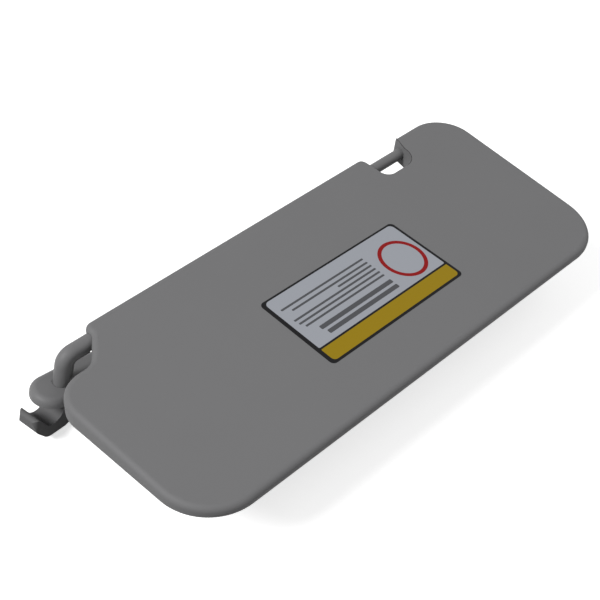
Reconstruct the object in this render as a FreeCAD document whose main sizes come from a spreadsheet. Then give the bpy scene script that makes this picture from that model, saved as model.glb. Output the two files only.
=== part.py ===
import FreeCAD, Part
import Sketcher
import math
import os
from FreeCAD import Placement, Rotation, Vector

# Car sun visor: a moulded two-shell panel that turns about a steel rod, an elbow arm that swivels in
# an oval roof mount with a hook, and a captive bar in a notch for the roof clip.
# Millimetres. X runs along the rod towards the free end, Y towards the hinge edge, Z up.
# The origin is the centre of the mount's seat pad, on the face that rests against the roof.

os.makedirs("parts", exist_ok=True)

SIZES = {
    # panel section, from the rod's axis
    "face_level": 8.5,
    "parting_level": 3.0,
    "back_level": -9.3,
    "back_rise": 8.8,
    "back_run": 172.5,
    "back_margin": 40.0,
    "panel_wall": 2.2,
    "face_round": 4.0,
    "back_round": 3.2,
    "seam_step": 0.3,
    # panel outline: corner arcs, from the elbow's corner
    "socket_end": 20.5,
    "hinge_edge": 8.25,
    "socket_round": 6.0,
    "step_y": -0.1,
    "step_round": 4.0,
    "crook_x": -1.0,
    "crook_round": 12.5,
    "lobe_top": -20.5,
    "lobe_x": -5.0,
    "lobe_round": 23.0,
    "heel_x": 11.0,
    "heel_y": -118.0,
    "heel_round": 38.0,
    "toe_x": 331.0,
    "toe_y": -122.6,
    "toe_round": 40.0,
    "tip_x": 353.4,
    "tip_top": 9.5,
    "tip_round": 28.5,
    # notch for the roof clip
    "notch_left": 285.5,
    "notch_floor": -19.2,
    "notch_left_round": 8.0,
    "notch_right_x": 308.3,
    "notch_right_round": 14.2,
    "notch_left_lip": 8.0,
    "notch_right_lip": 5.0,
    "notch_right_lip_x": 331.0,
    "notch_lip_rise": 0.4,
    "notch_wall_at_bar": 324.4,
    # clip bar and the cups that hold its ends
    "bar_radius": 4.35,
    "bar_reach": 17.0,
    "bar_tip": 0.6,
    "cup_length": 14.0,
    "cup_floor": 2.5,
    # rod, bushes and stop ring
    "bush_radius": 5.5,
    "bush_length": 11.0,
    "rod_radius": 3.5,
    "rod_grip": 18.0,
    "rod_tail": 4.5,
    "end_bush_x": 126.0,
    "cradle_width": 2.0,
    "cradle_inset": 1.5,
    "cradle_depth": 9.5,
    "stop_ring_radius": 5.3,
    "stop_ring_width": 1.2,
    "ring_groove_depth": 0.5,
    # friction housing with its grip clip
    "housing_x": 62.0,
    "housing_length": 42.0,
    "housing_rear": -14.0,
    "housing_front": 5.6,
    "housing_wall": 1.0,
    "housing_end_wall": 3.0,
    "lid_thickness": 1.6,
    "grip_wall": 0.8,
    "grip_slot": 1.6,
    "grip_ear_depth": 3.6,
    "grip_ear_length": 16.0,
    "screw_radius": 1.4,
    "screw_head_radius": 2.5,
    "screw_head_height": 0.9,
    "screw_length": 7.0,
    "screw_post_radius": 2.7,
    "screw_post_inset": 4.0,
    # weld posts and ribs inside the shells
    "rib_thickness": 1.6,
    "post_radius": 4.0,
    "post_inset": 25.0,
    "post_row_near": -50.0,
    "post_row_far": -125.0,
    "stud_radius": 1.6,
    "stud_length": 3.0,
    # label film on the face
    "label_length": 130.2,
    "label_width": 67.3,
    "label_thickness": 0.15,
    "label_round": 3.6,
    "label_x": 181.5,
    "label_y": -86.6,
    "label_turn": -1.1,
    # elbow arm
    "arm_radius": 5.45,
    "arm_end": 26.5,
    "arm_lean": 9.0,
    "bend_radius": 7.0,
    "leg_height": 29.5,
    "neck_radius": 5.0,
    "gusset_width": 5.0,
    "gusset_reach": 1.4,
    "gusset_round": 3.0,
    "gusset_end": 12.2,
    "gusset_foot": 10.5,
    # roof mount: oval cover, bracket and seat pad
    "cover_centre": 14.0,
    "cover_end_x": 21.2,
    "cover_end_round": 13.6,
    "cover_side_y": 105.3,
    "cover_side_round": 119.6,
    "cover_top": 8.5,
    "cover_lift": 1.8,
    "cover_wall": 2.0,
    "cover_round": 4.5,
    "pad_x": 23.25,
    "pad_half": 5.25,
    "pad_radius": 7.5,
    "pad_height": 0.8,
    "screw_hole_radius": 2.6,
    "plate_thickness": 2.8,
    # swivel socket in the bracket
    "collar_wall": 2.0,
    "swivel_bush_radius": 6.3,
    "swivel_bush_height": 2.3,
    "socket_top": 6.2,
    "socket_floor": 1.0,
    "thrust_washer_height": 0.6,
    "washer_hole_radius": 2.5,
    "leg_ring_radius": 6.15,
    "leg_ring_width": 0.8,
    # hook under the mount
    "hook_turn": 8.0,
    "hook_width": 16.0,
    "hook_side_round": 4.0,
    "hook_inner_x": -10.5,
    "hook_inner_z": -8.3,
    "hook_inner_round": 8.5,
    "hook_heel_x": -10.5,
    "hook_heel_z": -16.4,
    "hook_heel_round": 10.0,
    "hook_face_x": -19.6,
    "hook_face_z": -12.6,
    "hook_face_round": 6.0,
    "hook_back_x": 0.5,
    "hook_back_z": -20.5,
    "hook_back_round": 6.0,
    "hook_lip_x": -24.7,
    "hook_lip_z": -7.6,
    "hook_lip_round": 2.4,
    "hook_root_far": 6.5,
    "hook_root_near": -2.0,
    # clearances
    "running_gap": 0.05,
    "seat_gap": 0.05,
    "free_gap": 0.3,
}


class Measure:
    """A number together with the sheet formula that gives it."""

    def __init__(self, formula, value):
        self.formula = formula
        self.value = value

    def join(self, sign, other, value):
        return Measure("(%s %s %s)" % (self.formula, sign, other.formula), value)

    def __add__(self, other):
        other = measure(other)
        return self.join("+", other, self.value + other.value)

    def __sub__(self, other):
        other = measure(other)
        return self.join("-", other, self.value - other.value)

    def __mul__(self, other):
        other = measure(other)
        return self.join("*", other, self.value * other.value)

    def __truediv__(self, other):
        other = measure(other)
        return self.join("/", other, self.value / other.value)

    def __radd__(self, other):
        return measure(other) + self

    def __rsub__(self, other):
        return measure(other) - self

    def __rmul__(self, other):
        return measure(other) * self

    def __neg__(self):
        return Measure("(0 - %s)" % self.formula, -self.value)


def measure(number):
    return number if isinstance(number, Measure) else Measure(repr(float(number)), float(number))


def sine(angle):
    return Measure("sin(%s * 1 deg)" % angle.formula, math.sin(math.radians(angle.value)))


def cosine(angle):
    return Measure("cos(%s * 1 deg)" % angle.formula, math.cos(math.radians(angle.value)))


def tangent(angle):
    return Measure("tan(%s * 1 deg)" % angle.formula, math.tan(math.radians(angle.value)))


doc = FreeCAD.newDocument("SunVisor")
sheet = doc.addObject("Spreadsheet::Sheet", "Sizes")
for row, (alias, number) in enumerate(SIZES.items(), start=1):
    sheet.set("A%d" % row, alias)
    sheet.set("B%d" % row, str(number))
    sheet.setAlias("B%d" % row, alias)
doc.recompute()


class Sheet:
    """Gives each cell of the sheet as a Measure, by its alias."""

    def __getattr__(self, alias):
        return Measure("Sizes.%s" % alias, SIZES[alias])


s = Sheet()
pieces = {}


def bind(item, prop, number):
    """Ties one property of an object to the sheet."""
    item.setExpression(prop, measure(number).formula)


def place(item, x=0.0, y=0.0, z=0.0):
    """Moves an object, with each coordinate tied to the sheet."""
    base = [measure(n) for n in (x, y, z)]
    item.Placement = Placement(Vector(*[n.value for n in base]), item.Placement.Rotation)
    for axis, number in zip("xyz", base):
        bind(item, "Placement.Base.%s" % axis, number)


def turn(item, angle, axis):
    """Turns an object about one axis by an angle from the sheet."""
    item.Placement = Placement(item.Placement.Base, Rotation(axis, angle.value))
    item.setExpression("Placement.Rotation.Angle", "%s * 1 deg" % angle.formula)


# foot of the leg on the seat plane, and the elbow's corner, from the origin
foot_x = -s.pad_x * cosine(s.arm_lean)
foot_z = s.pad_x * sine(s.arm_lean)
corner_x = foot_x + s.leg_height * sine(s.arm_lean)
corner_z = foot_z + s.leg_height * cosine(s.arm_lean)


def keep(item, label, frame):
    """Names a finished piece and sets it in the panel's frame or in the mount's."""
    item.Label = label
    if frame == "panel":
        place(item, corner_x, 0.0, corner_z)
    else:
        place(item, foot_x, 0.0, foot_z)
        turn(item, s.arm_lean, Vector(0, 1, 0))
    pieces[label] = item
    return item


# drawing


def sharp(x, y):
    return (x, y, 0.0, 0)


def run_normals(corners):
    """Direction square to each straight run of an outline, pointing out of it."""
    normals = []
    for index, (x1, y1, r1, turn1) in enumerate(corners):
        x2, y2, r2, turn2 = corners[(index + 1) % len(corners)]
        reach = math.hypot(x2.value - x1.value, y2.value - y1.value)
        heading = math.atan2(y2.value - y1.value, x2.value - x1.value)
        normals.append(heading - math.acos((turn1 * r1.value - turn2 * r2.value) / reach))
    return normals


def fix_point(sketch, geometry, point, x, y):
    """Fixes a point of a drawing at coordinates from the sheet."""
    for kind, number in (("DistanceX", x), ("DistanceY", y)):
        rule = sketch.addConstraint(Sketcher.Constraint(kind, -1, 1, geometry, point, number.value))
        bind(sketch, "Constraints[%d]" % rule, number)


def fix_radius(sketch, geometry, r):
    rule = sketch.addConstraint(Sketcher.Constraint("Radius", geometry, r.value))
    bind(sketch, "Constraints[%d]" % rule, r)


# the two ends of a line or an arc, as a constraint counts them
START, END = range(1, 3)


def draw_outline(sketch, corners):
    """Draws a closed outline of corner arcs joined by straight tangent runs.

    Each corner is (x, y, radius, way). way is 1 where the outline turns left about the corner's
    centre, -1 where it turns right, and 0 at a sharp corner.
    """
    corners = [(measure(x), measure(y), measure(r), way) for x, y, r, way in corners]
    normals = run_normals(corners)
    runs = []
    for index, normal in enumerate(normals):
        ends = []
        for x, y, r, way in (corners[index], corners[(index + 1) % len(corners)]):
            ends.append(Vector(x.value + way * r.value * math.cos(normal),
                               y.value + way * r.value * math.sin(normal), 0))
        runs.append(sketch.addGeometry(Part.LineSegment(*ends), False))
    for index, (x, y, r, way) in enumerate(corners):
        before, after = runs[index - 1], runs[index]
        if way == 0:
            sketch.addConstraint(Sketcher.Constraint("Coincident", before, END, after, START))
            fix_point(sketch, after, START, x, y)
            continue
        first, last = normals[index - 1], normals[index]
        entry, leave = START, END
        if way < 0:
            first, last = last + math.pi, first + math.pi
            entry, leave = END, START
        circle = Part.Circle(Vector(x.value, y.value, 0), Vector(0, 0, 1), r.value)
        arc = sketch.addGeometry(Part.ArcOfCircle(circle, first, last), False)
        sketch.addConstraint(Sketcher.Constraint("Tangent", before, END, arc, entry))
        sketch.addConstraint(Sketcher.Constraint("Tangent", arc, leave, after, START))
        fix_point(sketch, arc, 3, x, y)
        fix_radius(sketch, arc, r)


def draw_on(body, name, plane, offset, corners):
    """A sketch of the body on one of its origin planes, moved along the plane's normal."""
    sketch = body.newObject("Sketcher::SketchObject", name)
    for feature in body.Origin.OriginFeatures:
        if feature.Role == plane:
            sketch.AttachmentSupport = [(feature, "")]
    sketch.MapMode = "FlatFace"
    offset = measure(offset)
    sketch.AttachmentOffset = Placement(Vector(0, 0, offset.value), Rotation())
    bind(sketch, "AttachmentOffset.Base.z", offset)
    draw_outline(sketch, corners)
    return sketch


def padded(name, corners, bottom, top, plane="XY_Plane"):
    """A body padded from an outline between two levels along the plane's normal."""
    bottom, top = measure(bottom), measure(top)
    body = doc.addObject("PartDesign::Body", name)
    sketch = draw_on(body, name + "_outline", plane, bottom, corners)
    pad = body.newObject("PartDesign::Pad", name + "_pad")
    pad.Profile = sketch
    bind(pad, "Length", top - bottom)
    body.Tip = pad
    doc.recompute()
    return body


def level_edges(shape, height):
    """Names of the edges whose ends and middle lie at height(y)."""
    names = []
    for index, edge in enumerate(shape.Edges, start=1):
        first, last = edge.FirstParameter, edge.LastParameter
        points = [edge.valueAt(first), edge.valueAt((first + last) / 2), edge.valueAt(last)]
        if all(abs(point.z - height(point.y)) < 0.001 for point in points):
            names.append("Edge%d" % index)
    return names


def round_edges(body, radius, height):
    """Rounds the edges of a body that lie at height(y)."""
    base = body.Tip
    fillet = body.newObject("PartDesign::Fillet", body.Name + "_round")
    fillet.Base = (base, level_edges(base.Shape, height))
    bind(fillet, "Radius", radius)
    body.Tip = fillet
    doc.recompute()
    return body


def along_x(name, radius, start, end, y=0.0, z=0.0):
    """A round bar along X."""
    bar = doc.addObject("Part::Cylinder", name)
    bar.Placement = Placement(Vector(), Rotation(Vector(0, 1, 0), 90))
    place(bar, start, y, z)
    bind(bar, "Radius", radius)
    bind(bar, "Height", measure(end) - start)
    return bar


def upright(name, radius, bottom, top, x=0.0, y=0.0):
    """A round bar along Z."""
    bar = doc.addObject("Part::Cylinder", name)
    place(bar, x, y, bottom)
    bind(bar, "Radius", radius)
    bind(bar, "Height", measure(top) - bottom)
    return bar


def block(name, x0, x1, y0, y1, z0, z1):
    """A box between three pairs of levels."""
    box = doc.addObject("Part::Box", name)
    place(box, x0, y0, z0)
    bind(box, "Length", measure(x1) - x0)
    bind(box, "Width", measure(y1) - y0)
    bind(box, "Height", measure(z1) - z0)
    return box


def cut(name, base, *tools):
    for index, tool in enumerate(tools, start=1):
        step = doc.addObject("Part::Cut", "%s_%d" % (name, index))
        step.Base = base
        step.Tool = tool
        base = step
    return base


def fuse(name, *solids):
    joined = doc.addObject("Part::MultiFuse", name)
    joined.Shapes = list(solids)
    joined.Refine = True
    return joined


def common(name, first, second):
    shared = doc.addObject("Part::MultiCommon", name)
    shared.Shapes = [first, second]
    return shared


# panel outlines

wall = s.panel_wall
lip_y = s.tip_top - s.notch_right_lip
left_lip_x = s.notch_left - s.notch_left_lip
left_lip_y = s.tip_top - s.notch_left_lip
notch_rounds = [
    (s.notch_right_x, s.notch_floor + s.notch_right_round, s.notch_right_round),
    (s.notch_left + s.notch_left_round, s.notch_floor + s.notch_left_round, s.notch_left_round),
]
back_slope = s.back_rise / s.back_run


def panel_outline(inset, notched):
    """The panel's outline drawn in by a distance, with the clip's notch or straight across it."""
    corners = [
        (s.socket_end - s.step_round, s.step_y, s.step_round + inset, -1),
        (s.crook_x, s.lobe_top + s.crook_round, s.crook_round + inset, -1),
        (s.lobe_x, s.lobe_top - s.lobe_round, s.lobe_round - inset, 1),
        (s.heel_x, s.heel_y, s.heel_round - inset, 1),
        (s.toe_x, s.toe_y, s.toe_round - inset, 1),
        (s.tip_x, s.tip_top - s.tip_round, s.tip_round - inset, 1),
    ]
    if notched:
        corners.append((s.notch_right_lip_x, lip_y, s.notch_right_lip - inset, 1))
        for x, y, r in notch_rounds:
            corners.append((x, y, r + inset, -1))
        corners.append((left_lip_x, left_lip_y, s.notch_left_lip - inset, 1))
    corners.append((s.socket_end + s.socket_round, s.hinge_edge - s.socket_round,
                    s.socket_round - inset, 1))
    return corners


def notch_outline():
    """The space of the notch, with its lips flared over the hinge edge."""
    rise = s.notch_lip_rise
    high = s.tip_top + 20
    left = left_lip_x - 10
    right = s.notch_right_lip_x + 10
    corners = [
        (s.notch_right_lip_x, lip_y + rise, s.notch_right_lip, -1),
        sharp(right, s.tip_top + rise),
        sharp(right, high),
        sharp(left, high),
        sharp(left, s.tip_top + rise),
        (left_lip_x, left_lip_y + rise, s.notch_left_lip, -1),
    ]
    for x, y, r in reversed(notch_rounds):
        corners.append((x, y, r, 1))
    return corners


def back_outline(lift):
    """Side view, in Y and Z, of what the sloping back leaves off below a lifted copy of it."""
    near_y = s.tip_top + s.back_margin
    far_y = s.tip_top - s.back_run - s.back_margin
    near_z = s.back_level + lift - s.back_margin * back_slope
    far_z = s.back_level + lift + (s.back_run + s.back_margin) * back_slope
    low = s.back_level - s.back_margin
    return [sharp(far_y, low), sharp(near_y, low),
            sharp(near_y, near_z), sharp(far_y, far_z)]


def back_height(lift):
    """Height of the sloping back at a given Y."""
    return lambda y: s.back_level.value + lift + (s.tip_top.value - y) * back_slope.value


def sloped(name, inset, notched, lift):
    """A body under the parting plane whose back follows the panel's slope, lifted by a wall."""
    body = padded(name, panel_outline(inset, notched), s.back_level - 3, s.parting_level)
    before = body.Shape.Volume
    left = s.lobe_x - s.lobe_round - 20
    right = s.tip_x + s.tip_round + 20
    slope = body.newObject("PartDesign::Pocket", name + "_slope")
    slope.Profile = draw_on(body, name + "_slope_outline", "YZ_Plane", left, back_outline(lift))
    slope.Reversed = True
    bind(slope, "Length", right - left)
    body.Tip = slope
    doc.recompute()
    if body.Shape.Volume > before - 1.0:
        raise RuntimeError("the slope of %s cut nothing" % name)
    return body


# places along the rod and the bar

arm_hole_end = s.arm_end + s.free_gap
end_bush_end = s.end_bush_x + s.bush_length
rod_end = end_bush_end + s.rod_tail
bar_left = s.notch_left - s.bar_reach
bar_right = s.notch_wall_at_bar + s.bar_reach
left_cup_x = bar_left - s.cup_floor
right_cup_end = bar_right + s.cup_floor
right_cup_x = right_cup_end - s.cup_length
ceiling = s.face_level - wall
seats = [
    (arm_hole_end, arm_hole_end + s.bush_length),
    (s.end_bush_x, end_bush_end),
    (left_cup_x, left_cup_x + s.cup_length),
    (right_cup_x, right_cup_end),
]
post_pitch = (s.toe_x - s.heel_x - 2 * s.post_inset) / 3
posts = []
for row in (s.post_row_near, s.post_row_far):
    for column in range(4):
        posts.append((s.heel_x + s.post_inset + post_pitch * column, row))


def passages(side):
    """Holes through the panel's walls for the elbow arm and the clip bar, and the notch."""
    low = s.back_level - 5
    high = s.face_level + 5
    bar_hole = s.bar_radius + 3 * s.seat_gap
    return [
        padded(side + "_notch", notch_outline(), low, high),
        along_x(side + "_arm_hole", s.arm_radius + s.free_gap, s.crook_x, arm_hole_end),
        along_x(side + "_bar_hole", bar_hole, left_cup_x + s.cup_length, right_cup_x),
    ]


def cradles(side, cavity, low, high):
    """Ribs across the hinge side of a shell, hollowed to seat the bushes and the cups."""
    ribs = []
    bores = []
    for index, (start, end) in enumerate(seats, start=1):
        for place_name, x in (("a", start + s.cradle_inset),
                              ("b", end - s.cradle_inset - s.cradle_width)):
            ribs.append(block("%s_cradle_%d%s" % (side, index, place_name), x,
                              x + s.cradle_width, -s.cradle_depth, s.tip_top, low, high))
        bores.append(along_x("%s_seat_%d" % (side, index), s.bush_radius + s.seat_gap,
                             start, end))
    inside = common(side + "_cradles", cavity, fuse(side + "_cradle_ribs", *ribs))
    return cut(side + "_seat", inside, fuse(side + "_seat_bores", *bores))


# front shell

front_solid = padded("front_solid", panel_outline(0, False), s.parting_level, s.face_level)
round_edges(front_solid, s.face_round, lambda y: s.face_level.value)
front_cavity = padded("front_cavity", panel_outline(wall, True), s.parting_level, ceiling)
front_hollow = cut("front_hollow", front_solid, front_cavity, *passages("front"))
front_cradles = cradles("front", front_cavity, s.parting_level, ceiling)
front_posts = []
for index, (x, y) in enumerate(posts, start=1):
    front_posts.append(upright("front_post_%d" % index, s.post_radius, s.parting_level,
                               s.face_level - s.panel_wall / 2, x, y))
    front_posts.append(upright("front_stud_%d" % index, s.stud_radius,
                               s.parting_level - s.stud_length, s.parting_level, x, y))
keep(fuse("front_shell", front_hollow, front_cradles, *front_posts), "front_shell", "panel")

# rear shell

rear_solid = sloped("rear_solid", s.seam_step, False, 0.0)
round_edges(rear_solid, s.back_round, back_height(0.0))
rear_cavity = sloped("rear_cavity", wall + s.seam_step, True, wall)
rear_hollow = cut("rear_hollow", rear_solid, rear_cavity, *passages("rear"))
rear_cradles = cradles("rear", rear_cavity, s.back_level, s.parting_level)
rear_posts = []
rear_bores = []
for index, (x, y) in enumerate(posts, start=1):
    rear_posts.append(upright("rear_post_%d" % index, s.post_radius, s.back_level,
                              s.parting_level, x, y))
    rear_bores.append(upright("rear_bore_%d" % index, s.stud_radius + s.seat_gap,
                              s.parting_level - s.stud_length - s.free_gap,
                              s.parting_level, x, y))
rib_left = s.lobe_x - s.lobe_round
rib_right = s.tip_x + s.tip_round
half_rib = s.rib_thickness / 2
for name, row in (("near", s.post_row_near), ("far", s.post_row_far)):
    rear_posts.append(block("rear_rib_" + name, rib_left, rib_right, row - half_rib,
                            row + half_rib, s.back_level, s.parting_level - s.free_gap))
rear_inside = common("rear_inside", rear_cavity, fuse("rear_ribs", *rear_posts))
rear_joined = fuse("rear_joined", rear_hollow, rear_cradles, rear_inside)
keep(cut("rear_shell", rear_joined, fuse("rear_bores", *rear_bores)), "rear_shell", "panel")

# label film


def label_corner(along, across):
    """Centre of one rounded corner of the label, turned with the label."""
    dx = along * (s.label_length / 2 - s.label_round)
    dy = across * (s.label_width / 2 - s.label_round)
    x = s.label_x + dx * cosine(s.label_turn) - dy * sine(s.label_turn)
    y = s.label_y + dx * sine(s.label_turn) + dy * cosine(s.label_turn)
    return (x, y, s.label_round, 1)


label_corners = [label_corner(-1, -1), label_corner(1, -1), label_corner(1, 1), label_corner(-1, 1)]
label = padded("label", label_corners, s.face_level, s.face_level + s.label_thickness)
keep(label, "label_film", "panel")

# bushes, rod and stop ring

rod_bore = s.rod_radius + s.running_gap
for name, (start, end) in (("socket_bush", seats[0]), ("rod_end_bush", seats[1])):
    sleeve = along_x(name + "_sleeve", s.bush_radius, start, end)
    bore = along_x(name + "_bore", rod_bore, start, end)
    keep(cut(name, sleeve, bore), name, "panel")

groove_start = end_bush_end + s.free_gap
groove_end = groove_start + s.stop_ring_width + s.seat_gap
groove_floor = s.rod_radius - s.ring_groove_depth
rod_round = along_x("rod_round", s.rod_radius, s.arm_end - s.rod_grip, rod_end)
rod_groove = cut("rod_groove", along_x("groove_outside", s.rod_radius + 1, groove_start, groove_end),
                 along_x("groove_inside", groove_floor, groove_start, groove_end))
keep(cut("hinge_rod", rod_round, rod_groove), "hinge_rod", "panel")
ring_end = groove_start + s.stop_ring_width
stop_ring = cut("stop_ring",
                along_x("stop_ring_disc", s.stop_ring_radius, groove_start, ring_end),
                along_x("stop_ring_bore", groove_floor + s.seat_gap, groove_start, ring_end),
                block("stop_ring_mouth", groove_start, ring_end, -s.rod_radius, s.rod_radius,
                      -s.stop_ring_radius, 0.0))
keep(stop_ring, "rod_stop_ring", "panel")

# friction housing: a box round the rod, its lid, the grip clip and two screws

housing_end = s.housing_x + s.housing_length
housing_floor = (s.back_level + (s.tip_top - s.housing_rear) * back_slope + wall + s.seat_gap)
lid_top = ceiling - s.seat_gap
lid_bottom = lid_top - s.lid_thickness
screw_y = s.housing_rear + s.screw_post_inset
screws = [s.housing_x + s.screw_post_inset + s.housing_end_wall,
          housing_end - s.screw_post_inset - s.housing_end_wall]
housing_box = block("housing_box", s.housing_x, housing_end, s.housing_rear, s.housing_front,
                    housing_floor, lid_bottom)
housing_room = block("housing_room", s.housing_x + s.housing_end_wall,
                     housing_end - s.housing_end_wall, s.housing_rear + s.housing_wall,
                     s.housing_front - s.housing_wall, housing_floor + s.housing_wall, lid_bottom)
screw_top = lid_top - s.seat_gap
screw_shoulder = screw_top - s.screw_head_height
screw_tip = screw_shoulder - s.screw_length
housing_posts = []
pilots = []
lid_cuts = []
screw_solids = []
for index, x in enumerate(screws, start=1):
    housing_posts.append(upright("housing_post_%d" % index, s.screw_post_radius, housing_floor,
                                 lid_bottom, x, screw_y))
    pilots.append(upright("pilot_%d" % index, s.screw_radius + s.seat_gap,
                          screw_tip - s.free_gap, lid_bottom, x, screw_y))
    lid_cuts.append(upright("lid_hole_%d" % index, s.screw_radius + s.free_gap / 2, lid_bottom,
                            lid_top, x, screw_y))
    lid_cuts.append(upright("lid_recess_%d" % index, s.screw_head_radius + s.free_gap / 2,
                            screw_shoulder - s.seat_gap, lid_top, x, screw_y))
    head = upright("screw_head_%d" % index, s.screw_head_radius, screw_shoulder, screw_top,
                   x, screw_y)
    shank = upright("screw_shank_%d" % index, s.screw_radius, screw_tip, screw_shoulder,
                    x, screw_y)
    screw_solids.append(fuse("screw_%d" % index, head, shank))
housing = cut("housing", fuse("housing_body", cut("housing_tray", housing_box, housing_room),
                              *housing_posts), *pilots,
              along_x("housing_rod_hole", rod_bore, s.housing_x, housing_end))
keep(housing, "friction_housing", "panel")
lid = block("lid_plate", s.housing_x, housing_end, s.housing_rear, s.housing_front, lid_bottom,
            lid_top)
keep(cut("lid", lid, *lid_cuts), "housing_lid", "panel")
for index, screw in enumerate(screw_solids, start=1):
    keep(screw, "housing_screw_%d" % index, "panel")

grip_start = s.housing_x + s.housing_end_wall + s.free_gap
grip_end = housing_end - s.housing_end_wall - s.free_gap
grip_radius = rod_bore + s.grip_wall
ear_start = (grip_start + grip_end - s.grip_ear_length) / 2
half_slot = s.grip_slot / 2
ear_tip = -grip_radius - s.grip_ear_depth
ears = block("grip_ears", ear_start, ear_start + s.grip_ear_length, ear_tip,
             -rod_bore, -half_slot - s.grip_wall, half_slot + s.grip_wall)
grip_body = fuse("grip_body", along_x("grip_sleeve", grip_radius, grip_start, grip_end), ears)
grip = cut("grip", grip_body, along_x("grip_bore", rod_bore, grip_start, grip_end),
           block("grip_slit", grip_start, grip_end, ear_tip, 0.0, -half_slot, half_slot))
keep(grip, "grip_clip", "panel")

# clip bar and its cups

tip_length = s.bar_tip
bar = fuse("bar", along_x("bar_middle", s.bar_radius, bar_left + tip_length,
                          bar_right - tip_length),
           along_x("bar_tips", s.bar_radius - tip_length, bar_left, bar_right))
keep(bar, "clip_bar", "panel")
left_cup = cut("left_cup",
               along_x("left_cup_round", s.bush_radius, left_cup_x, left_cup_x + s.cup_length),
               along_x("left_cup_bore", s.bar_radius + s.seat_gap, bar_left - s.seat_gap,
                       left_cup_x + s.cup_length))
keep(left_cup, "bar_cup_left", "panel")
right_cup = cut("right_cup", along_x("right_cup_round", s.bush_radius, right_cup_x, right_cup_end),
                along_x("right_cup_bore", s.bar_radius + s.seat_gap, right_cup_x,
                        bar_right + s.seat_gap))
keep(right_cup, "bar_cup_right", "panel")

# elbow arm: horizontal socket for the rod, bend, leg, gusset and neck

bend_angle = 90 - s.arm_lean
bend_start = s.bend_radius * tangent(bend_angle / 2)
shoulder = s.socket_top + s.seat_gap
socket_level = s.pad_height + s.socket_floor
washer_top = socket_level + s.thrust_washer_height
leg_bottom = washer_top + s.seat_gap


def on_leg(name, radius, bottom, top):
    """A round bar on the leg's axis, between heights above the seat plane."""
    bar = doc.addObject("Part::Cylinder", name)
    drop = s.leg_height - bottom
    place(bar, -drop * sine(s.arm_lean), 0.0, -drop * cosine(s.arm_lean))
    turn(bar, s.arm_lean, Vector(0, 1, 0))
    bind(bar, "Radius", radius)
    bind(bar, "Height", measure(top) - bottom)
    return bar


bend = doc.addObject("Part::Torus", "arm_bend")
bend.Placement = Placement(Vector(), Rotation(Vector(0, 0, 1), Vector(-1, 0, 0), Vector(0, -1, 0),
                                              "ZXY"))
place(bend, bend_start, 0.0, -s.bend_radius)
bind(bend, "Radius1", s.bend_radius)
bind(bend, "Radius2", s.arm_radius)
bind(bend, "Angle3", bend_angle)

gusset_offset = s.arm_radius + s.gusset_reach
gusset_centre = gusset_offset + s.gusset_round
foot_drop = s.leg_height - s.gusset_foot
side_x = gusset_offset * cosine(s.arm_lean)
side_z = -gusset_offset * sine(s.arm_lean)
gusset_corners = [
    sharp(-foot_drop * sine(s.arm_lean), -foot_drop * cosine(s.arm_lean)),
    sharp(side_x - foot_drop * sine(s.arm_lean), side_z - foot_drop * cosine(s.arm_lean)),
    (gusset_centre * tangent(bend_angle / 2), -gusset_centre, s.gusset_round, -1),
    sharp(bend_start + s.gusset_end, -gusset_offset),
    sharp(bend_start + s.gusset_end, 0.0),
    sharp(bend_start, 0.0),
]
gusset = padded("gusset", gusset_corners, -s.gusset_width / 2, s.gusset_width / 2, "XZ_Plane")
arm_solid = fuse("arm_solid", on_leg("arm_neck", s.neck_radius, leg_bottom, shoulder + 1),
                 on_leg("arm_leg", s.arm_radius, shoulder, s.leg_height - bend_start), bend,
                 along_x("arm_socket", s.arm_radius, bend_start, s.arm_end), gusset)
neck_ring_bottom = leg_bottom + s.ring_groove_depth
neck_ring_top = neck_ring_bottom + s.leg_ring_width
neck_groove_floor = s.neck_radius - s.ring_groove_depth
neck_groove = cut("neck_groove",
                  on_leg("neck_groove_outside", s.neck_radius + 1, neck_ring_bottom,
                         neck_ring_top + s.seat_gap),
                  on_leg("neck_groove_inside", neck_groove_floor, neck_ring_bottom,
                         neck_ring_top + s.seat_gap))
arm = cut("arm", arm_solid, neck_groove,
          along_x("arm_bore", s.rod_radius + s.seat_gap, s.arm_end - s.rod_grip, s.arm_end))
keep(arm, "elbow_arm", "panel")
leg_ring = cut("leg_ring_body",
               upright("leg_ring_disc", s.leg_ring_radius, neck_ring_bottom, neck_ring_top),
               upright("leg_ring_bore", neck_groove_floor + s.seat_gap, neck_ring_bottom,
                       neck_ring_top),
               block("leg_ring_mouth", 0.0, s.leg_ring_radius, -s.rod_radius, s.rod_radius,
                     neck_ring_bottom, neck_ring_top))
keep(leg_ring, "leg_ring", "mount")

# roof mount: bracket with the swivel socket, seat pad and hook, and its cover


def cover_outline(inset):
    """The oval cover's outline drawn in by a distance: two end arcs and two long side arcs."""
    return [
        (s.cover_centre - s.cover_end_x, 0.0, s.cover_end_round - inset, 1),
        (s.cover_centre, s.cover_side_y, s.cover_side_round - inset, 1),
        (s.cover_centre + s.cover_end_x, 0.0, s.cover_end_round - inset, 1),
        (s.cover_centre, -s.cover_side_y, s.cover_side_round - inset, 1),
    ]


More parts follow.
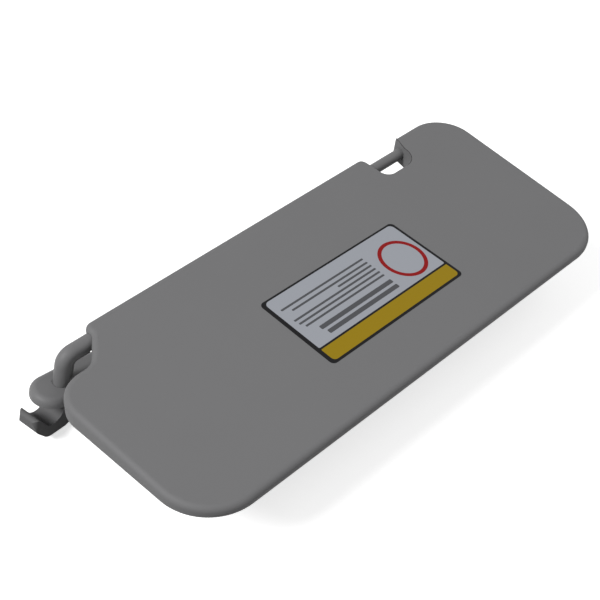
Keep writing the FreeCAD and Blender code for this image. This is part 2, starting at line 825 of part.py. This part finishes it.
plate_top = s.pad_height + s.plate_thickness
plate = padded("bracket_plate", cover_outline(s.cover_wall + s.free_gap), s.pad_height, plate_top)
pad_corners = [(s.pad_x - s.pad_half, 0.0, s.pad_radius, 1),
               (s.pad_x + s.pad_half, 0.0, s.pad_radius, 1)]
pad = padded("seat_pad", pad_corners, 0.0, s.pad_height + s.plate_thickness / 2)
collar = upright("socket_collar", s.swivel_bush_radius + s.collar_wall, s.pad_height, s.socket_top)
hook_root = s.pad_height + s.socket_floor / 2
hook_corners = [
    (s.hook_heel_x, s.hook_heel_z, s.hook_heel_round, 1),
    (s.hook_back_x, s.hook_back_z, s.hook_back_round, 1),
    sharp(s.hook_root_far, hook_root),
    sharp(s.hook_root_near, hook_root),
    (s.hook_inner_x, s.hook_inner_z, s.hook_inner_round, -1),
    (s.hook_lip_x, s.hook_lip_z, s.hook_lip_round, 1),
    (s.hook_face_x, s.hook_face_z, s.hook_face_round, 1),
]
hook_profile = padded("hook_profile", hook_corners, -s.hook_width, s.hook_width, "XZ_Plane")
hook_side = s.hook_width / 2
lip_corner_x = s.hook_lip_x - s.hook_lip_round + s.hook_side_round
lip_corner_y = hook_side - s.hook_side_round
hook_plan_corners = [
    (lip_corner_x, -lip_corner_y, s.hook_side_round, 1),
    sharp(s.hook_root_far + s.hook_side_round, -hook_side),
    sharp(s.hook_root_far + s.hook_side_round, hook_side),
    (lip_corner_x, lip_corner_y, s.hook_side_round, 1),
]
hook_plan = padded("hook_plan", hook_plan_corners,
                   s.hook_heel_z - s.hook_heel_round - s.hook_side_round,
                   s.pad_height + s.socket_floor)
hook = common("hook", hook_profile, hook_plan)
place(hook, s.hook_inner_x - s.hook_inner_x * cosine(s.hook_turn),
      -s.hook_inner_x * sine(s.hook_turn), 0.0)
turn(hook, s.hook_turn, Vector(0, 0, 1))
bracket = cut("bracket", fuse("bracket_body", plate, pad, collar, hook),
              upright("swivel_socket", s.swivel_bush_radius + s.seat_gap, socket_level,
                      s.socket_top),
              upright("screw_hole", s.screw_hole_radius, 0.0, plate_top,
                      s.pad_x + s.pad_half, 0.0))
keep(bracket, "mount_bracket", "mount")
bush_bottom = s.socket_top - s.swivel_bush_height
swivel_bush = cut("swivel_bush_body",
                  upright("swivel_bush_sleeve", s.swivel_bush_radius, bush_bottom, s.socket_top),
                  upright("swivel_bush_bore", s.neck_radius + s.running_gap, bush_bottom,
                          s.socket_top))
keep(swivel_bush, "swivel_bush", "mount")
thrust_washer = cut("thrust_washer_body",
                    upright("washer_disc", s.swivel_bush_radius - s.seat_gap, socket_level,
                            washer_top),
                    upright("washer_hole", s.washer_hole_radius, socket_level, washer_top))
keep(thrust_washer, "thrust_washer", "mount")

cover_solid = padded("cover_solid", cover_outline(0), s.cover_lift, s.cover_top)
round_edges(cover_solid, s.cover_round, lambda y: s.cover_top.value)
cover_ceiling = s.cover_top - s.cover_wall
cover_room = padded("cover_room", cover_outline(s.cover_wall), s.cover_lift, cover_ceiling)
cover = cut("cover", cover_solid, cover_room,
            upright("cover_leg_hole", s.arm_radius + s.free_gap, cover_ceiling, s.cover_top))
keep(cover, "base_cover", "mount")

doc.recompute()
for item in doc.Objects:
    if "Invalid" in item.State or "Error" in item.State:
        raise RuntimeError("%s failed: %s" % (item.Name, item.State))
for label, item in pieces.items():
    shape = item.Shape
    if shape.isNull() or not shape.isValid() or len(shape.Solids) != 1:
        raise RuntimeError("%s is not one sound solid" % label)
for label, item in pieces.items():
    item.Shape.exportStep("parts/%s.step" % label)
    print(label, round(item.Shape.Volume, 1), item.Shape.BoundBox)
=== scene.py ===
import bpy
import math
from mathutils import Matrix, Vector


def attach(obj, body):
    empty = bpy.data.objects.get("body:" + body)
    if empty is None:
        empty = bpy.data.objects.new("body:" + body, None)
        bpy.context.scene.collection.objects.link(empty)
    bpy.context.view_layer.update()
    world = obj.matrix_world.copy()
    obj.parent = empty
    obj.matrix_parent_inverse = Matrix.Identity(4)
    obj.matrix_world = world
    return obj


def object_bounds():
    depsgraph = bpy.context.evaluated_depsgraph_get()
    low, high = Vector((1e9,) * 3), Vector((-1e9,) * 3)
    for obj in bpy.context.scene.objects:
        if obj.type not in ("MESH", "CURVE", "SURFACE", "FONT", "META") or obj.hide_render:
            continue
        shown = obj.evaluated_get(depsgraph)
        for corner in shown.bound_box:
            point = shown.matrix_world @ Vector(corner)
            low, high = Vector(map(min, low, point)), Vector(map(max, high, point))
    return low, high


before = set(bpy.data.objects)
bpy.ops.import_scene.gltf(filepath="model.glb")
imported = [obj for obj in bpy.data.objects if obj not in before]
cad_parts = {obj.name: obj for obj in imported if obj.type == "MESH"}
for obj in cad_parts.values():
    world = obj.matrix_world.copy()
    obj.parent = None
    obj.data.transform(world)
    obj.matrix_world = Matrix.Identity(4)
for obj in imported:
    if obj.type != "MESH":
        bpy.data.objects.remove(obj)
cad_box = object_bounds()

# Lengths are in metres in the scene, and in millimetres in the panel's own frame, which has its
# origin on the rod's axis at the elbow.
MM = 0.001
LEAN = math.radians(9.0)
PAD_X = 23.25
LEG = 29.5
CORNER = Vector((-PAD_X * math.cos(LEAN) + LEG * math.sin(LEAN), 0.0,
                 PAD_X * math.sin(LEAN) + LEG * math.cos(LEAN)))


def panel_point(x, y, z):
    """A point given in the panel's frame, in millimetres, as a place in the scene."""
    return (CORNER + Vector((x, y, z))) * MM


# materials


def new_material(name):
    material = bpy.data.materials.new(name)
    material.use_nodes = True
    nodes = material.node_tree.nodes
    return material, nodes, material.node_tree.links, nodes["Principled BSDF"]


def moulded_plastic(name, colour, roughness, grain_size, grain_depth, gloss=0.2, mottle=0.03):
    """Matt moulded plastic with a fine grain and a faint unevenness of tone."""
    material, nodes, links, shader = new_material(name)
    place = nodes.new("ShaderNodeTexCoord")
    grain = nodes.new("ShaderNodeTexNoise")
    grain.inputs["Scale"].default_value = 1.0 / (grain_size * MM)
    grain.inputs["Detail"].default_value = 3.0
    links.new(place.outputs["Object"], grain.inputs["Vector"])
    bump = nodes.new("ShaderNodeBump")
    bump.inputs["Strength"].default_value = 0.35
    bump.inputs["Distance"].default_value = grain_depth * MM
    links.new(grain.outputs["Fac"], bump.inputs["Height"])
    links.new(bump.outputs["Normal"], shader.inputs["Normal"])
    cloud = nodes.new("ShaderNodeTexNoise")
    cloud.inputs["Scale"].default_value = 14.0
    cloud.inputs["Detail"].default_value = 2.0
    links.new(place.outputs["Object"], cloud.inputs["Vector"])
    tone = nodes.new("ShaderNodeMixRGB")
    tone.blend_type = "MIX"
    tone.inputs["Color1"].default_value = [c * (1.0 - mottle) for c in colour] + [1.0]
    tone.inputs["Color2"].default_value = [c * (1.0 + mottle) for c in colour] + [1.0]
    links.new(cloud.outputs["Fac"], tone.inputs["Fac"])
    links.new(tone.outputs["Color"], shader.inputs["Base Color"])
    shader.inputs["Roughness"].default_value = roughness
    shader.inputs["Specular IOR Level"].default_value = gloss
    return material


def vary_roughness(nodes, links, pattern, low, high, shader):
    """Spreads the roughness between two values by a noise pattern."""
    spread = nodes.new("ShaderNodeMapRange")
    spread.inputs["To Min"].default_value = low
    spread.inputs["To Max"].default_value = high
    links.new(pattern.outputs["Fac"], spread.inputs["Value"])
    links.new(spread.outputs["Result"], shader.inputs["Roughness"])


def drawn_steel(name, colour, roughness):
    """Bright steel with fine draw lines along X."""
    material, nodes, links, shader = new_material(name)
    place = nodes.new("ShaderNodeTexCoord")
    stretch = nodes.new("ShaderNodeMapping")
    stretch.inputs["Scale"].default_value = (40.0, 2500.0, 2500.0)
    links.new(place.outputs["Object"], stretch.inputs["Vector"])
    lines = nodes.new("ShaderNodeTexNoise")
    lines.inputs["Scale"].default_value = 1.0
    links.new(stretch.outputs["Vector"], lines.inputs["Vector"])
    vary_roughness(nodes, links, lines, roughness - 0.06, roughness + 0.08, shader)
    shader.inputs["Base Color"].default_value = (*colour, 1.0)
    shader.inputs["Metallic"].default_value = 1.0
    return material


def printed_film(name, colour, roughness):
    """Smooth printed film with a barely uneven gloss."""
    material, nodes, links, shader = new_material(name)
    place = nodes.new("ShaderNodeTexCoord")
    cloud = nodes.new("ShaderNodeTexNoise")
    cloud.inputs["Scale"].default_value = 60.0
    links.new(place.outputs["Object"], cloud.inputs["Vector"])
    vary_roughness(nodes, links, cloud, roughness - 0.05, roughness + 0.05, shader)
    shader.inputs["Base Color"].default_value = (*colour, 1.0)
    shader.inputs["Specular IOR Level"].default_value = 0.07
    return material


panel_grey = moulded_plastic("panel_grey", (0.168, 0.168, 0.171), 0.62, 0.7, 0.10)
arm_grey = moulded_plastic("arm_grey", (0.170, 0.170, 0.173), 0.5, 0.5, 0.03)
# painted shade: the bracket and hook get a darker copy of the arm's grey, standing in for the shade
# the hook lies in
hook_grey = moulded_plastic("hook_grey", (0.140, 0.140, 0.142), 0.6, 0.5, 0.03, gloss=0.06)
bush_white = moulded_plastic("bush_white", (0.70, 0.69, 0.64), 0.4, 0.6, 0.02)
housing_black = moulded_plastic("housing_black", (0.03, 0.03, 0.03), 0.5, 0.6, 0.03)
steel = drawn_steel("drawn_steel", (0.55, 0.55, 0.56), 0.3)
label_black = printed_film("label_black", (0.012, 0.012, 0.013), 0.35)
label_pale = printed_film("label_pale", (0.335, 0.35, 0.385), 0.35)
label_yellow = printed_film("label_yellow", (0.30, 0.20, 0.010), 0.35)
label_red = printed_film("label_red", (0.26, 0.010, 0.010), 0.35)
label_bar = printed_film("label_bar", (0.085, 0.087, 0.094), 0.4)
# painted shade: near-black colour for the line that stands in for the shade in the gap at the
# notch's edge
seam_painted_shade = moulded_plastic("seam_painted_shade", (0.03, 0.03, 0.03), 0.6, 0.5, 0.02)

finishes = {
    "front_shell": panel_grey,
    "rear_shell": panel_grey,
    "label_film": label_black,
    "socket_bush": bush_white,
    "rod_end_bush": bush_white,
    "friction_housing": housing_black,
    "housing_lid": housing_black,
    "housing_screw_1": steel,
    "housing_screw_2": steel,
    "grip_clip": steel,
    "clip_bar": arm_grey,
    "bar_cup_left": bush_white,
    "bar_cup_right": bush_white,
    "hinge_rod": steel,
    "rod_stop_ring": steel,
    "elbow_arm": arm_grey,
    "leg_ring": steel,
    "base_cover": arm_grey,
    "mount_bracket": hook_grey,
    "swivel_bush": bush_white,
    "thrust_washer": bush_white,
}
for node, material in finishes.items():
    piece = bpy.data.objects[node]
    if not piece.material_slots:
        piece.data.materials.append(material)
    for slot in piece.material_slots:
        slot.material = material


def new_piece(name, verts, faces):
    """An object of this name, with a mesh of its own, linked into the scene."""
    mesh = bpy.data.meshes.new(name)
    mesh.from_pydata([tuple(v) for v in verts], [], faces)
    mesh.update()
    piece = bpy.data.objects.new(name, mesh)
    bpy.context.scene.collection.objects.link(piece)
    return piece


def dress(piece, material, body):
    """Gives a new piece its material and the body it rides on."""
    piece.data.materials.append(material)
    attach(piece, body)


# printed areas of the label, each a very thin sheet on the film

LABEL_TURN = math.radians(-1.1)
LABEL_CENTRE = (181.5, -86.6)
LABEL_LENGTH = 130.2
LABEL_WIDTH = 67.3
FILM_TOP = 8.65
PRINT_TOP = FILM_TOP + 0.02
BARS_TOP = FILM_TOP + 0.035
RING_TOP = FILM_TOP + 0.04

# The label's plan is laid out in steps: 12 to a unit of 1.24 mm, with a margin of 5 units.
PLAN_UNIT = 1.24
PLAN_STEPS = 12.0
PLAN_MARGIN = 5.0
FIELD_PLAN = (90, 75, 1300, 562)
FIELD_BENDS = (36, 10, 10, 36)
BAND_PLAN = (90, 577, 1300, 692)
BAND_BENDS = (6, 30, 30, 6)
RING_CENTRE = (1112, 353)
RING_SIZE = (325, 357)
RING_STROKE = 28
ROW_END = 893
THIN_ROWS = [(186, 133), (228, 190), (265, 572), (303, 133), (341, 140), (379, 160)]
THIN_HALF, THIN_BEND = 8, 5
THICK_ROWS = [(448, 220), (503, 237)]
THICK_HALF, THICK_BEND = 17, 8


def label_place(along, across):
    """A point of the label, from its far left corner, in the panel's frame."""
    x = along - LABEL_LENGTH / 2
    y = LABEL_WIDTH / 2 - across
    c, n = math.cos(LABEL_TURN), math.sin(LABEL_TURN)
    return (LABEL_CENTRE[0] + x * c - y * n, LABEL_CENTRE[1] + x * n + y * c)


def from_plan(x, y):
    """A place on the label's plan as millimetres along and across the label."""
    return ((x / PLAN_STEPS - PLAN_MARGIN) * PLAN_UNIT,
            (y / PLAN_STEPS - PLAN_MARGIN) * PLAN_UNIT)


def rounded_outline(x0, x1, y0, y1, radii, steps=10):
    """Points round a rectangle with rounded corners, from the corner at (x0, y0)."""
    corners = [(x0, y0, 270), (x0, y1, 180), (x1, y1, 90), (x1, y0, 360)]
    points = []
    for (x, y, first), r in zip(corners, radii):
        cx = x + r if x == x0 else x - r
        cy = y + r if y == y0 else y - r
        for step in range(steps + 1):
            angle = math.radians(first - 90 * step / steps)
            points.append((cx + r * math.cos(angle), cy + r * math.sin(angle)))
    return points


def plan_rectangle(x0, y0, x1, y1, radii):
    a, b = from_plan(x0, y0)
    c, d = from_plan(x1, y1)
    return rounded_outline(a, c, b, d, [r / PLAN_STEPS * PLAN_UNIT for r in radii])


def ring_outline(x, y, rx, ry, count=64):
    return [(x + rx * math.cos(2 * math.pi * i / count), y + ry * math.sin(2 * math.pi * i / count))
            for i in range(count)]


def sheet_mesh(name, outlines, bottom, top, hole=None):
    """A thin sheet with a flat top over each outline; a hole makes the outline a ring."""
    verts, faces = [], []

    def add_loop(points, level):
        first = len(verts)
        for along, across in points:
            x, y = label_place(along, across)
            verts.append(panel_point(x, y, level))
        return list(range(first, first + len(points)))

    for outline in outlines:
        upper = add_loop(outline, top)
        lower = add_loop(outline, bottom)
        count = len(outline)
        if hole:
            inner_upper = add_loop(hole, top)
            inner_lower = add_loop(hole, bottom)
            for i in range(count):
                j = (i + 1) % count
                faces.append((upper[i], upper[j], inner_upper[j], inner_upper[i]))
                faces.append((lower[j], lower[i], inner_lower[i], inner_lower[j]))
                faces.append((inner_upper[i], inner_upper[j], inner_lower[j], inner_lower[i]))
        else:
            faces.append(tuple(upper))
            faces.append(tuple(reversed(lower)))
        for i in range(count):
            j = (i + 1) % count
            faces.append((upper[j], upper[i], lower[i], lower[j]))
    return new_piece(name, verts, faces)


field = sheet_mesh("label_field", [plan_rectangle(*FIELD_PLAN, FIELD_BENDS)], FILM_TOP, PRINT_TOP)
dress(field, label_pale, "visor")
band = sheet_mesh("label_band", [plan_rectangle(*BAND_PLAN, BAND_BENDS)], FILM_TOP, PRINT_TOP)
dress(band, label_yellow, "visor")

ring_x, ring_y = from_plan(*RING_CENTRE)
ring_rx, ring_ry = [size / 2 / PLAN_STEPS * PLAN_UNIT for size in RING_SIZE]
stroke = RING_STROKE / PLAN_STEPS * PLAN_UNIT
ring = sheet_mesh("label_ring", [ring_outline(ring_x, ring_y, ring_rx, ring_ry)],
                  PRINT_TOP, RING_TOP,
                  ring_outline(ring_x, ring_y, ring_rx - stroke, ring_ry - stroke))
dress(ring, label_red, "visor")

bars = []
for row_list, half, bend in ((THIN_ROWS, THIN_HALF, THIN_BEND),
                             (THICK_ROWS, THICK_HALF, THICK_BEND)):
    for y, start in row_list:
        bars.append(plan_rectangle(start, y - half, ROW_END, y + half, (bend,) * 4))
rows = sheet_mesh("label_rows", bars, PRINT_TOP, BARS_TOP)
dress(rows, label_bar, "visor")

# painted shade: a near-black line along the edge where the face turns into the notch's right wall,
# standing in for the shade in the gap there

SEAM_LEVEL = 8.4
SEAM_RADIUS = 0.22
NOTCH_ROUND = (308.3, -5.0, 14.2)
LIP_ROUND = (331.0, 4.9, 5.0)


def arc_points(x, y, radius, first, last, count):
    """Places along an arc in the panel's frame, between two angles in degrees."""
    angles = [math.radians(first + (last - first) * i / count) for i in range(count + 1)]
    return [(x + radius * math.cos(a), y + radius * math.sin(a)) for a in angles]


def seam_tube(name, route, level, radius, sides=8):
    """A thin round line laid along a level route in the panel's frame."""
    verts, faces = [], []
    for index, (x, y) in enumerate(route):
        before = route[max(index - 1, 0)]
        after = route[min(index + 1, len(route) - 1)]
        heading = math.atan2(after[1] - before[1], after[0] - before[0]) + math.pi / 2
        for side in range(sides):
            turn = 2 * math.pi * side / sides
            out = radius * math.cos(turn)
            verts.append(panel_point(x + out * math.cos(heading), y + out * math.sin(heading),
                                     level + radius * math.sin(turn)))
    for index in range(len(route) - 1):
        for side in range(sides):
            a = index * sides + side
            b = index * sides + (side + 1) % sides
            faces.append((a, b, b + sides, a + sides))
    last = (len(route) - 1) * sides
    faces.append(tuple(reversed(range(sides))))
    faces.append(tuple(range(last, last + sides)))
    return new_piece(name, verts, faces)


seam_route = arc_points(*LIP_ROUND, 128, 188, 12) + arc_points(*NOTCH_ROUND, 2, -90, 30)
# painted shade: this near-black tube is the shade of the gap at the notch's edge, not a dark part
seam = seam_tube("notch_seam", seam_route, SEAM_LEVEL, SEAM_RADIUS)
dress(seam, seam_painted_shade, "visor")

# floor and world, white where they are seen and dimmer where they only light the object


def seen_rays(tree_nodes, tree_links):
    """A value of 1 for rays that show the surface, directly, mirrored or through glass."""
    path = tree_nodes.new("ShaderNodeLightPath")
    total = path.outputs["Is Camera Ray"]
    for kind in ("Is Glossy Ray", "Is Transmission Ray"):
        adder = tree_nodes.new("ShaderNodeMath")
        adder.operation = "ADD"
        adder.use_clamp = True
        tree_links.new(total, adder.inputs[0])
        tree_links.new(path.outputs[kind], adder.inputs[1])
        total = adder.outputs["Value"]
    return total


def by_seen_ray(tree_nodes, tree_links, factor, elsewhere, shown, target):
    """Gives a socket one value where it is seen and another for soft bounced light."""
    level = tree_nodes.new("ShaderNodeMapRange")
    level.inputs["To Min"].default_value = elsewhere
    level.inputs["To Max"].default_value = shown
    tree_links.new(factor, level.inputs["Value"])
    tree_links.new(level.outputs["Result"], target)


FLOOR_REACH = 6.0
FLOOR_GAP = 0.0005
FLOOR_TONES = (0.12, 0.9)
FLOOR_GLOW = (0.0, 0.64)
WORLD_LEVELS = (0.30, 1.0)

floor = new_piece("floor", [(-FLOOR_REACH, -FLOOR_REACH, 0), (FLOOR_REACH, -FLOOR_REACH, 0),
                            (FLOOR_REACH, FLOOR_REACH, 0), (-FLOOR_REACH, FLOOR_REACH, 0)],
                  [(0, 1, 2, 3)])
floor.location = (0, 0, cad_box[0][2] - FLOOR_GAP)
material, nodes, links, shader = new_material("floor_white")
nodes.remove(shader)
cloth = nodes.new("ShaderNodeBsdfDiffuse")
glow = nodes.new("ShaderNodeEmission")
floor_seen = seen_rays(nodes, links)
by_seen_ray(nodes, links, floor_seen, *FLOOR_TONES, cloth.inputs["Color"])
by_seen_ray(nodes, links, floor_seen, *FLOOR_GLOW, glow.inputs["Strength"])
both = nodes.new("ShaderNodeAddShader")
links.new(cloth.outputs["BSDF"], both.inputs[0])
links.new(glow.outputs["Emission"], both.inputs[1])
links.new(both.outputs["Shader"], nodes["Material Output"].inputs["Surface"])
floor.data.materials.append(material)

world = bpy.data.worlds.new("studio")
bpy.context.scene.world = world
world.use_nodes = True
world_nodes = world.node_tree.nodes
world_links = world.node_tree.links
background = world_nodes["Background"]
background.inputs["Color"].default_value = (1.0, 1.0, 1.0, 1.0)
world_seen = seen_rays(world_nodes, world_links)
by_seen_ray(world_nodes, world_links, world_seen, *WORLD_LEVELS, background.inputs["Strength"])

# lights and camera


def soft_light(name, place, target, size, watts):
    lamp = bpy.data.lights.new(name, "AREA")
    lamp.shape = "DISK"
    lamp.size = size
    lamp.energy = watts
    item = bpy.data.objects.new(name, lamp)
    item.location = place
    direction = Vector(target) - Vector(place)
    item.rotation_euler = direction.to_track_quat("-Z", "Y").to_euler()
    bpy.context.scene.collection.objects.link(item)


middle = panel_point(170, -75, 0)
soft_light("key", (-2.3, 0.6, 2.45), middle, 1.2, 101.0)
soft_light("fill", (0.9, -0.9, 1.6), middle, 1.4, 5.0)

camera_data = bpy.data.cameras.new("camera")
camera_data.lens = 68.21
camera_data.sensor_width = 36.0
camera_data.clip_start = 0.01
camera = bpy.data.objects.new("camera", camera_data)
bpy.context.scene.collection.objects.link(camera)
right = Vector((0.68644, -0.71941, 0.10616))
up = Vector((0.45874, 0.54167, 0.70438))
back = Vector((-0.56424, -0.43481, 0.70184))
spot = panel_point(-278.83, -389.43, 530.84)
camera.matrix_world = Matrix(((right.x, up.x, back.x, spot.x),
                              (right.y, up.y, back.y, spot.y),
                              (right.z, up.z, back.z, spot.z),
                              (0.0, 0.0, 0.0, 1.0)))
bpy.context.scene.camera = camera

view = bpy.context.scene.view_settings
view.view_transform = "Standard"
